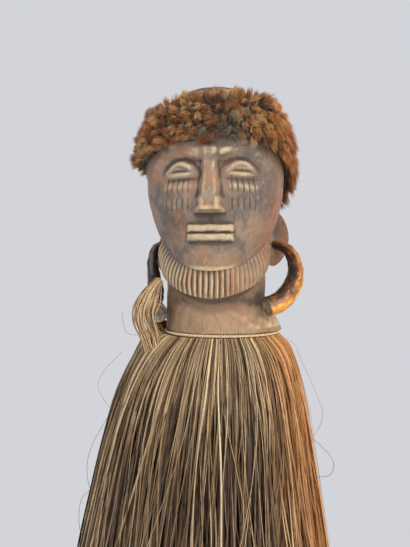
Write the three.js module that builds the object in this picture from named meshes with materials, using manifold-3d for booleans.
// Ancestor figure: a carved head on a plain post, with a fur headband, horn earrings and a
// raffia skirt, on a low round stand. Millimetres, +Z up. The face looks along -Y, and the
// origin is the middle of the stand's underside. An angle is measured round +Z from the face,
// growing towards +X, which is the figure's left.
import * as THREE from "three";
import { mergeVertices } from "three/addons/utils/BufferGeometryUtils.js";
import Module from "manifold-3d";

const { clamp, degToRad, lerp, smoothstep } = THREE.MathUtils;
const wasm = await Module();
wasm.setup();

// Heights, from the stand up
const STAND_HEIGHT = 36;
const SOCKET_DEPTH = 10;
const HEM_Z = 70;
const RAFFIA_LENGTH = 520;
const COLLAR_Z = HEM_Z + RAFFIA_LENGTH;
const CHIN_Z = COLLAR_Z + 59;
const HEAD_HEIGHT = 190;

// Radii and half widths
const STAND_RADIUS = 138;
const FOOT_RADIUS = 56;
const POST_RADIUS = 50;
const NECK_RADIUS = 52;
const HEAD_SIDE = 71.5;
const HEAD_FRONT = 80;
const HEAD_BACK = 86;
const GAP = 0.3;
const WELD = 0.02;

// Collar at the foot of the neck: it spreads on the figure's left, and hardly on its right
const COLLAR_FLARE = { left: 17, right: 0.5, front: 3, back: 9 };
const COLLAR_HEIGHT = 31;

// Beard: a ribbed band under the jaw that rises towards the ears
const BEARD_DEPTH = 24;
const BEARD_RISE = 33;
const BEARD_END = degToRad(68);
const BEARD_RADIUS = { middle: 69, end: 61 };
const BEARD_TUCK = 1.5;
const RIB_HEIGHT = 1.7;
const JAW_Z = CHIN_Z + 1.5;

// Face, on the usual proportions of a head
const EYE_Z = CHIN_Z + HEAD_HEIGHT / 2;
const BROW_Z = CHIN_Z + 0.575 * HEAD_HEIGHT;
const NOSE_Z = CHIN_Z + 0.29 * HEAD_HEIGHT;
const MOUTH_Z = CHIN_Z + 0.19 * HEAD_HEIGHT;
const EYE_WIDTH = (2 * HEAD_SIDE) / 5;

// Facets of the carved head: columns are closer together in front
const COLUMNS = 80;
const FRONT_CROWDING = 0.6;

// Share of a head's full size at height share t: a dome above the widest level, a taper below
function egg(t, widest, taper, power) {
  if (t <= widest) return 1 - taper * Math.pow((widest - t) / widest, power);
  const up = Math.min(1, (t - widest) / (1 - widest));
  return Math.pow(1 - Math.pow(up, 2.2), 1 / 2.2);
}

// Radius at an angle of a rounded section with these half sizes
function sectionRadius(angle, side, front, back, power) {
  const depth = Math.cos(angle) > 0 ? front : back;
  const sum =
    Math.pow(Math.abs(Math.sin(angle)) / side, power) +
    Math.pow(Math.abs(Math.cos(angle)) / depth, power);
  return Math.pow(sum, -1 / power);
}

// The head without its features
function headRadius(angle, z) {
  const t = Math.max(0, (z - CHIN_Z) / HEAD_HEIGHT);
  if (t >= 0.9999) return 0;
  const side = HEAD_SIDE * egg(t, 0.55, 0.48, 2.1);
  const front = HEAD_FRONT * egg(t, 0.6, 0.12, 1.5);
  const back = HEAD_BACK * egg(t, 0.5, 0.46, 1.6);
  return sectionRadius(angle, side, front, back, Math.cos(angle) > 0 ? 2.3 : 2);
}

// The neck and the collar that it spreads into
function neckRadius(angle, z) {
  const down = clamp((COLLAR_Z + COLLAR_HEIGHT - z) / COLLAR_HEIGHT, 0, 1);
  const flare = 1 - Math.pow(1 - down, 1.3);
  return sectionRadius(
    angle,
    NECK_RADIUS + (Math.sin(angle) > 0 ? COLLAR_FLARE.left : COLLAR_FLARE.right) * flare,
    NECK_RADIUS + COLLAR_FLARE.front * flare,
    NECK_RADIUS + COLLAR_FLARE.back * flare,
    2
  );
}

// The larger of two radii, blended where they are within soft of each other
function softMax(a, b, soft) {
  const h = clamp(0.5 + (0.5 * (a - b)) / soft, 0, 1);
  return lerp(b, a, h) + soft * h * (1 - h);
}

// How far the carving's level lines rise at an angle, to follow the beard
function beardLift(angle) {
  return BEARD_RISE * Math.pow(Math.min(Math.abs(angle) / BEARD_END, 1), 1.8);
}

// Outer surface of the beard: share runs from 0 at its lower edge to 1 at the top, where it is
// tucked in under the jaw
function beardRadius(angle, rib, share) {
  const along = Math.min(Math.abs(angle) / BEARD_END, 1);
  const low = lerp(BEARD_RADIUS.middle, BEARD_RADIUS.end, along * along) - 2;
  const high = Math.min(low, headRadius(angle, JAW_Z + beardLift(angle)) - BEARD_TUCK);
  const swell = 4 * share * (1 - share);
  const body = lerp(low, high, Math.pow(share, 1.5));
  return body + 2 * swell + RIB_HEIGHT * rib * (0.4 + 0.6 * swell);
}

const hill = (x) => (Math.abs(x) < 1 ? Math.pow(1 - x * x, 2) : 0);

// 1 inside an oval of these half sizes and 0 outside it, with a soft rim
function oval(x, y, halfX, halfY, soft) {
  return 1 - smoothstep(Math.hypot(x / halfX, y / halfY), 1 - soft, 1 + soft);
}

// Hollow of an eye, and the closed lid in it with its slit
function eyeRelief(u, z) {
  const x = Math.abs(u) - EYE_WIDTH;
  const y = z - EYE_Z + 0.012 * x * x;
  const socket = oval(x, y - 2, 19, 13, 0.55);
  const lid = oval(x, y + 1, 14.5, 7.5, 0.5);
  return -5.5 * socket + 5 * lid - 1.2 * hill((y + 2.5) / 2.2) * hill(x / 14);
}

// Straight wedge of the nose, flat underneath, with its two wings
function noseRelief(u, z) {
  const down = clamp((BROW_Z - z) / (BROW_Z - NOSE_Z), 0, 1);
  const half = lerp(7.5, 0.42 * EYE_WIDTH, Math.pow(down, 1.5));
  const bottom = smoothstep(z, NOSE_Z - 2.5, NOSE_Z + 0.5);
  const bridge = lerp(2.5, 16, down) * (1 - smoothstep(Math.abs(u), half * 0.35, half * 1.2));
  const wing = 3 * oval(Math.abs(u) - 9.5, z - NOSE_Z - 5, 5, 8, 0.5);
  return (bridge + wing) * bottom * (1 - smoothstep(z, BROW_Z, BROW_Z + 9));
}

// Two plain lips with a cut between them
function mouthRelief(u, z) {
  const half = 0.75 * EYE_WIDTH;
  const y = z - MOUTH_Z;
  const ends = 1 - smoothstep(Math.abs(u), half - 3, half + 1.5);
  return ends * (4.2 * (1 - smoothstep(Math.abs(y), 5.5, 9)) - 2.4 * hill(y / 2.4));
}

// Everything that is carved on the face, outwards in millimetres
function faceRelief(angle, z, radius) {
  if (Math.cos(angle) < 0.1) return 0;
  const u = radius * Math.sin(angle);
  const brow = 2.6 * hill((z - BROW_Z + 0.003 * u * u) / 9) * hill(u / 60);
  const cheek = 2 * hill((Math.abs(u) - 33) / 24) * hill((z - NOSE_Z - 8) / 26);
  const chin = 4 * hill(u / 26) * hill((z - CHIN_Z - 8) / 18);
  return brow + cheek + chin + eyeRelief(u, z) + noseRelief(u, z) + mouthRelief(u, z);
}

// Point of the carved head at an angle and a level, which is the height before the beard's lift
function carvedPoint(angle, rib, level) {
  const beardLow = CHIN_Z - BEARD_DEPTH;
  const fade =
    level < beardLow
      ? smoothstep(level, COLLAR_Z + 4, beardLow)
      : 1 - smoothstep(level, JAW_Z, EYE_Z);
  const z = level + beardLift(angle) * fade;
  const neck = neckRadius(angle, z) * (1 - smoothstep(z, CHIN_Z + 30, EYE_Z + 30));
  const base = softMax(neck, headRadius(angle, z), 8);
  const underJaw = level < JAW_Z && Math.abs(angle) < BEARD_END;
  if (underJaw && level >= beardLow)
    return { z, r: beardRadius(angle, rib, (level - beardLow) / BEARD_DEPTH) };
  if (underJaw) return { z, r: neckRadius(angle, z) };
  return { z, r: base + faceRelief(angle, z, base) };
}

// Evenly spaced heights, without the last one
function levels(from, to, count) {
  return Array.from({ length: count }, (_, i) => lerp(from, to, i / count));
}

// A closed three.js geometry as a manifold solid, and back
function solidOf(geometry) {
  const bare = geometry.index ? geometry.clone() : geometry;
  bare.deleteAttribute("normal");
  bare.deleteAttribute("uv");
  const merged = mergeVertices(bare, 1e-3);
  return new wasm.Manifold(
    new wasm.Mesh({
      numProp: 3,
      vertProperties: merged.attributes.position.array,
      triVerts: new Uint32Array(merged.index.array),
    })
  );
}

function geometryOf(solid) {
  const mesh = solid.asOriginal().simplify(WELD).getMesh();
  return new THREE.BufferGeometry()
    .setAttribute("position", new THREE.BufferAttribute(mesh.vertProperties, 3))
    .setIndex(new THREE.BufferAttribute(mesh.triVerts, 1));
}

// Moves every vertex of a geometry to the place that a function gives for it
function reshape(geometry, place) {
  const at = geometry.attributes.position;
  const p = new THREE.Vector3();
  for (let i = 0; i < at.count; i++) {
    const q = place(p.fromBufferAttribute(at, i).clone());
    at.setXYZ(i, q.x, q.y, q.z);
  }
  return geometry;
}

const polar = (angle, r, z) =>
  new THREE.Vector3(r * Math.sin(angle), -r * Math.cos(angle), z);

// A profile of [radius, height] pairs turned round +Z
function turned(profile, segments) {
  const points = profile.map(([r, z]) => new THREE.Vector2(r, z));
  return new THREE.LatheGeometry(points, segments).rotateX(Math.PI / 2);
}

// A round bar bent along a curve, sizeAt(share) thick and squeezed from front to back
function bar(curve, sizeAt, sides, steps, squeeze = 0) {
  const frames = curve.computeFrenetFrames(steps, false);
  const round = new THREE.CylinderGeometry(1, 1, steps, sides, steps);
  return reshape(round, (p) => {
    const i = clamp(Math.round(steps / 2 - p.y), 0, steps);
    const off = new THREE.Vector3()
      .addScaledVector(frames.normals[i], p.z * sizeAt(i / steps))
      .addScaledVector(frames.binormals[i], -p.x * sizeAt(i / steps));
    off.y *= 1 - squeeze;
    return curve.getPointAt(i / steps).add(off);
  });
}

const through = (points) =>
  new THREE.CatmullRomCurve3(points.map((p) => new THREE.Vector3(...p)));

function carvedHead() {
  const rows = [
    ...levels(COLLAR_Z, COLLAR_Z + 6, 2),
    ...levels(COLLAR_Z + 6, CHIN_Z - BEARD_DEPTH - 1, 3),
    CHIN_Z - BEARD_DEPTH - 1,
    ...levels(CHIN_Z - BEARD_DEPTH, CHIN_Z + 1, 3),
    CHIN_Z + 1,
    ...levels(CHIN_Z + 2.5, NOSE_Z - 2.5, 7),
    ...levels(NOSE_Z - 2.5, BROW_Z + 9, 11),
    ...levels(0, 90, 6).map(
      (a) => lerp(BROW_Z + 9, CHIN_Z + HEAD_HEIGHT, Math.sin(degToRad(a)))
    ),
  ];
  const profile = [
    [0, COLLAR_Z],
    ...rows.map((z) => [1, z]),
    [0, CHIN_Z + HEAD_HEIGHT],
  ];
  return reshape(turned(profile, COLUMNS), (p) => {
    if (Math.hypot(p.x, p.y) < 0.5) return p;
    const turn = Math.atan2(p.x, -p.y);
    const angle = turn - FRONT_CROWDING * Math.sin(turn);
    const rib = Math.cos((COLUMNS / 2) * turn);
    const { r, z } = carvedPoint(angle, rib, p.z);
    return polar(angle, r, z);
  });
}

// An ear: a leaning oval plate, hollow on its outer face and swept back from the head
const EAR_HALF = { length: 16, thickness: 4.2, height: 31 };
const LEFT_EAR = { side: 1, reach: 63, middle: { y: 14, z: CHIN_Z + 38 }, sweep: degToRad(52) };
const RIGHT_EAR = { side: -1, reach: 55.5, middle: { y: 8, z: CHIN_Z + 24 }, sweep: degToRad(20) };

function ear({ side, reach, middle, sweep }) {
  return reshape(new THREE.SphereGeometry(1, 12, 10).rotateX(Math.PI / 2), (p) => {
    const hollow = Math.exp(-Math.pow(p.y / 0.5, 2) - Math.pow((p.z - 0.25) / 0.5, 2));
    const along = EAR_HALF.length * p.y * (p.y < 0 ? 1.25 : 1) + 4 * p.z;
    const face = side * p.x;
    const out = EAR_HALF.thickness * (face - (face > 0 ? 0.9 * hollow : 0));
    const lean = 3 - 5 * Math.pow(p.z + 0.3, 2);
    const x = reach + lean + out * Math.cos(sweep) + along * Math.sin(sweep);
    const y = middle.y - out * Math.sin(sweep) + along * Math.cos(sweep);
    return new THREE.Vector3(side * x, y, middle.z + EAR_HALF.height * p.z);
  });
}

// The earrings' middle lines, from the thin end in the lobe to the thick end at the neck
const LEFT_HORN = through([
  [55.8, 13.5, CHIN_Z + 31],
  [59, 8.5, CHIN_Z + 30.5],
  [65, 2, CHIN_Z + 29],
  [76.5, -4, CHIN_Z + 22.5],
  [82.4, -15, CHIN_Z + 1],
  [75.8, -26, CHIN_Z - 17],
  [64, -36, CHIN_Z - 29],
  [52.5, -41, CHIN_Z - 33.5],
]);
const RIGHT_HORN = through([
  [-57, 14, CHIN_Z + 30.5],
  [-61.5, 12.5, CHIN_Z + 31],
  [-68, 11.5, CHIN_Z + 26.5],
  [-71, 12, CHIN_Z + 13],
  [-69, 9, CHIN_Z - 4],
  [-65, 0, CHIN_Z - 20],
  [-64.5, -20, CHIN_Z - 34],
  [-54.5, -43.5, CHIN_Z - 40],
]);
const HORN_RADIUS = { tip: 3.2, full: 10.6 };
const HORN_STEPS = 14;
const LOBE_HOLE = { radius: 6, length: 17, share: 0.05, lift: 1 };

const hornSize = (share) =>
  lerp(HORN_RADIUS.tip, HORN_RADIUS.full, Math.pow(smoothstep(share, -0.1, 0.9), 0.8));

// Cutter for the hole that an earring hangs in, along the first part of its middle line
function lobeHole(horn) {
  const start = horn.getPointAt(0);
  const end = horn.getPointAt(2 * LOBE_HOLE.share);
  const way = end.clone().sub(start).normalize();
  const middle = start.clone().lerp(end, 0.5);
  const { radius, length, lift } = LOBE_HOLE;
  return new THREE.CylinderGeometry(radius, radius, length, 12)
    .applyQuaternion(
      new THREE.Quaternion().setFromUnitVectors(new THREE.Vector3(0, 1, 0), way)
    )
    .translate(middle.x, middle.y, middle.z + lift);
}

function carvedFigure() {
  const foot = STAND_HEIGHT - SOCKET_DEPTH + GAP;
  const post = turned(
    [
      [0, foot],
      [FOOT_RADIUS, foot],
      [FOOT_RADIUS, STAND_HEIGHT + 8],
      [POST_RADIUS, STAND_HEIGHT + 40],
      [POST_RADIUS, COLLAR_Z + 5],
      [0, COLLAR_Z + 5],
    ],
    24
  );
  const pieces = [carvedHead(), post, ear(LEFT_EAR), ear(RIGHT_EAR)].map(solidOf);
  const holes = [lobeHole(LEFT_HORN), lobeHole(RIGHT_HORN)].map(solidOf);
  return geometryOf(wasm.Manifold.union(pieces).subtract(wasm.Manifold.union(holes)));
}

function stand() {
  const socket = FOOT_RADIUS + 3 * GAP;
  return turned(
    [
      [0, 0],
      [STAND_RADIUS - 4, 0],
      [STAND_RADIUS, 5],
      [STAND_RADIUS - 1, STAND_HEIGHT - 9],
      [STAND_RADIUS - 5, STAND_HEIGHT - 2.5],
      [STAND_RADIUS - 12, STAND_HEIGHT],
      [socket, STAND_HEIGHT],
      [socket, STAND_HEIGHT - SOCKET_DEPTH],
      [0, STAND_HEIGHT - SOCKET_DEPTH],
    ],
    32
  );
}

// Fur band: from a sloping lower edge up onto the dome, lumpy where the locks of fur stand,
// with a parting where its two ends meet
const FUR_DEPTH = 12.5;
const FUR_GAP = 1.8;
const PARTING = { angle: degToRad(8.5), half: degToRad(6) };

const bandLow = (angle) =>
  CHIN_Z +
  106.5 +
  12.5 * Math.cos(angle) -
  7.5 * Math.sin(angle) +
  3 * Math.cos(2 * angle) +
  7 * Math.sin(2 * angle);
const bandTop = (angle) => CHIN_Z + 157 + 6 * Math.sin(angle);

// Point this far out from the head, square to its surface
function offHead(angle, z, depth) {
  const r = headRadius(angle, z);
  const slope = r - headRadius(angle, z + 1);
  const length = Math.hypot(1, slope);
  return polar(angle, r + depth / length, z + (depth * slope) / length);
}

function furHeadband() {
  const shape = [
    [0, 0],
    [-0.05, 0.6],
    [0.12, 1],
    [0.46, 1.08],
    [0.8, 1],
    [0.99, 0.6],
    [1, 0],
    [0.75, 0],
    [0.5, 0],
    [0.25, 0],
    [0, 0],
  ];
  return reshape(turned(shape.map(([w, d]) => [1 + d, w]), 42), (p) => {
    const angle = Math.atan2(p.x, -p.y);
    const share = Math.hypot(p.x, p.y) - 1;
    const lump = Math.cos(14 * angle + 4 * p.z) + 0.7 * Math.cos(9 * angle - 5 * p.z);
    const parting = Math.exp(-Math.pow((angle - PARTING.angle) / PARTING.half, 2));
    const depth = share * (FUR_DEPTH + 1.3 * lump) * (1 - 0.6 * parting);
    return offHead(angle, lerp(bandLow(angle), bandTop(angle), p.z), FUR_GAP + depth);
  });
}

// Ring of the cord under the collar, and of the fringe that is tied to it
const CORD = { left: 65.5, right: 53.8, front: 54.5, back: 58.5, thickness: 1.6 };

function ringRadius(angle) {
  const side = Math.sin(angle) > 0 ? CORD.left : CORD.right;
  return sectionRadius(angle, side, CORD.front, CORD.back, 2);
}

function neckCord() {
  const z = COLLAR_Z - CORD.thickness - GAP;
  return reshape(new THREE.TorusGeometry(10, CORD.thickness, 4, 30), (p) => {
    const angle = Math.atan2(p.x, -p.y);
    return polar(angle, ringRadius(angle) + Math.hypot(p.x, p.y) - 10, z + p.z);
  });
}

// Raffia skirt: a thick bundle round the post, in locks that spread from under the cord. It
// falls from a round shoulder, which is piled up at the figure's right, and hangs straighter
// further down.
const LOCKS = 28;
const SHOULDER = { radius: 74, swell: 11.5, depth: 28 };
const SPREAD = { slope: 0.19, from: 190, ease: 500 };
const SKIRT_SWAY = -20;
const PILE = { angle: degToRad(-97), half: degToRad(54), height: 14 };
const SKIRT_DROPS = [7, 18, 38, 76, 130, 200, 290, 400, RAFFIA_LENGTH - 6];

// Radius of the skirt's outside at an angle, this far down from the collar
function skirtRadius(angle, drop) {
  const swell = SHOULDER.swell * (1 - Math.exp(-drop / SHOULDER.depth));
  const past = Math.max(0, drop - SPREAD.from);
  const round = SHOULDER.radius + swell + SPREAD.slope * (drop - (past * past) / SPREAD.ease);
  const settle = 8 + 16 * Math.pow(Math.cos(angle), 2);
  return lerp(round, ringRadius(angle), Math.exp(-drop / settle));
}

function raffiaSkirt() {
  const top = 2 * CORD.thickness + 2 * GAP;
  const inner = POST_RADIUS + 1.5;
  const profile = [
    [inner + 10, HEM_Z],
    ...SKIRT_DROPS.toReversed().map((drop) => [100, COLLAR_Z - drop]),
    [90, COLLAR_Z - top],
    [inner, COLLAR_Z - top],
    [inner, HEM_Z + 60],
    [inner + 10, HEM_Z],
  ];
  const skirt = reshape(turned(profile, 2 * LOCKS), (p) => {
    const angle = Math.atan2(p.x, -p.y);
    const size = Math.hypot(p.x, p.y);
    if (size < 80) return p;
    const drop = COLLAR_Z - p.z;
    if (size < 95) return polar(angle, ringRadius(angle) + CORD.thickness, p.z);
    const turn = Math.round((angle / Math.PI) * LOCKS);
    const spread = smoothstep(drop, 2, 60);
    const ridge = (turn % 2 ? -1 : 1) * (2 + Math.cos(2.3 * turn)) + 2 * Math.sin(1.7 * turn);
    const wander = 0.02 * spread * Math.sin(2.1 * turn + drop / 70);
    const hem = (4 + 7 * Math.cos(1.9 * turn)) * smoothstep(drop, 410, RAFFIA_LENGTH - 6);
    const pile = PILE.height * hill((angle - PILE.angle) / PILE.half) * (1 - smoothstep(drop, 4, 30));
    const sway = SKIRT_SWAY * (1 - Math.exp(-drop / 200));
    return polar(angle + wander, skirtRadius(angle, drop) + ridge * spread, p.z + hem + pile)
      .add(new THREE.Vector3(sway, 0, 0));
  });
  return geometryOf(solidOf(skirt).add(solidOf(raffiaLock())));
}

// The flat lock of raffia that is caught up in front of the right earring
function raffiaLock() {
  const path = through([
    [-53.5, -39.5, CHIN_Z - 7.5],
    [-57, -48, CHIN_Z - 14.5],
    [-61.5, -54.5, CHIN_Z - 26],
    [-65.5, -55, CHIN_Z - 37],
    [-65.5, -51.5, CHIN_Z - 48],
    [-63, -45, CHIN_Z - 60],
    [-57, -36, CHIN_Z - 89],
  ]);
  const size = (share) => 4 + 4 * smoothstep(share, 0, 0.3);
  return bar(path, size, 8, 8, 0.55);
}

// Colours and finish of each material
const finish = (color, roughness) =>
  new THREE.MeshStandardMaterial({ color, roughness, metalness: 0 });
const wood = finish(0x6f5d50, 0.75);
const standWood = finish(0x4a3b31, 0.7);
const fur = finish(0x9a6432, 0.95);
const horn = finish(0x9c6420, 0.3);
const raffia = finish(0xa58a63, 0.85);

const figure = new THREE.Group();
function piece(name, geometry, material) {
  const mesh = new THREE.Mesh(geometry, material);
  mesh.name = name;
  figure.add(mesh);
}

piece("carved_figure", carvedFigure(), wood);
piece("stand", stand(), standWood);
piece("fur_headband", furHeadband(), fur);
piece("horn_earring_left", bar(LEFT_HORN, hornSize, 8, HORN_STEPS), horn);
piece("horn_earring_right", bar(RIGHT_HORN, hornSize, 8, HORN_STEPS), horn);
piece("neck_cord", neckCord(), raffia);
piece("raffia_skirt", raffiaSkirt(), raffia);

export default figure;
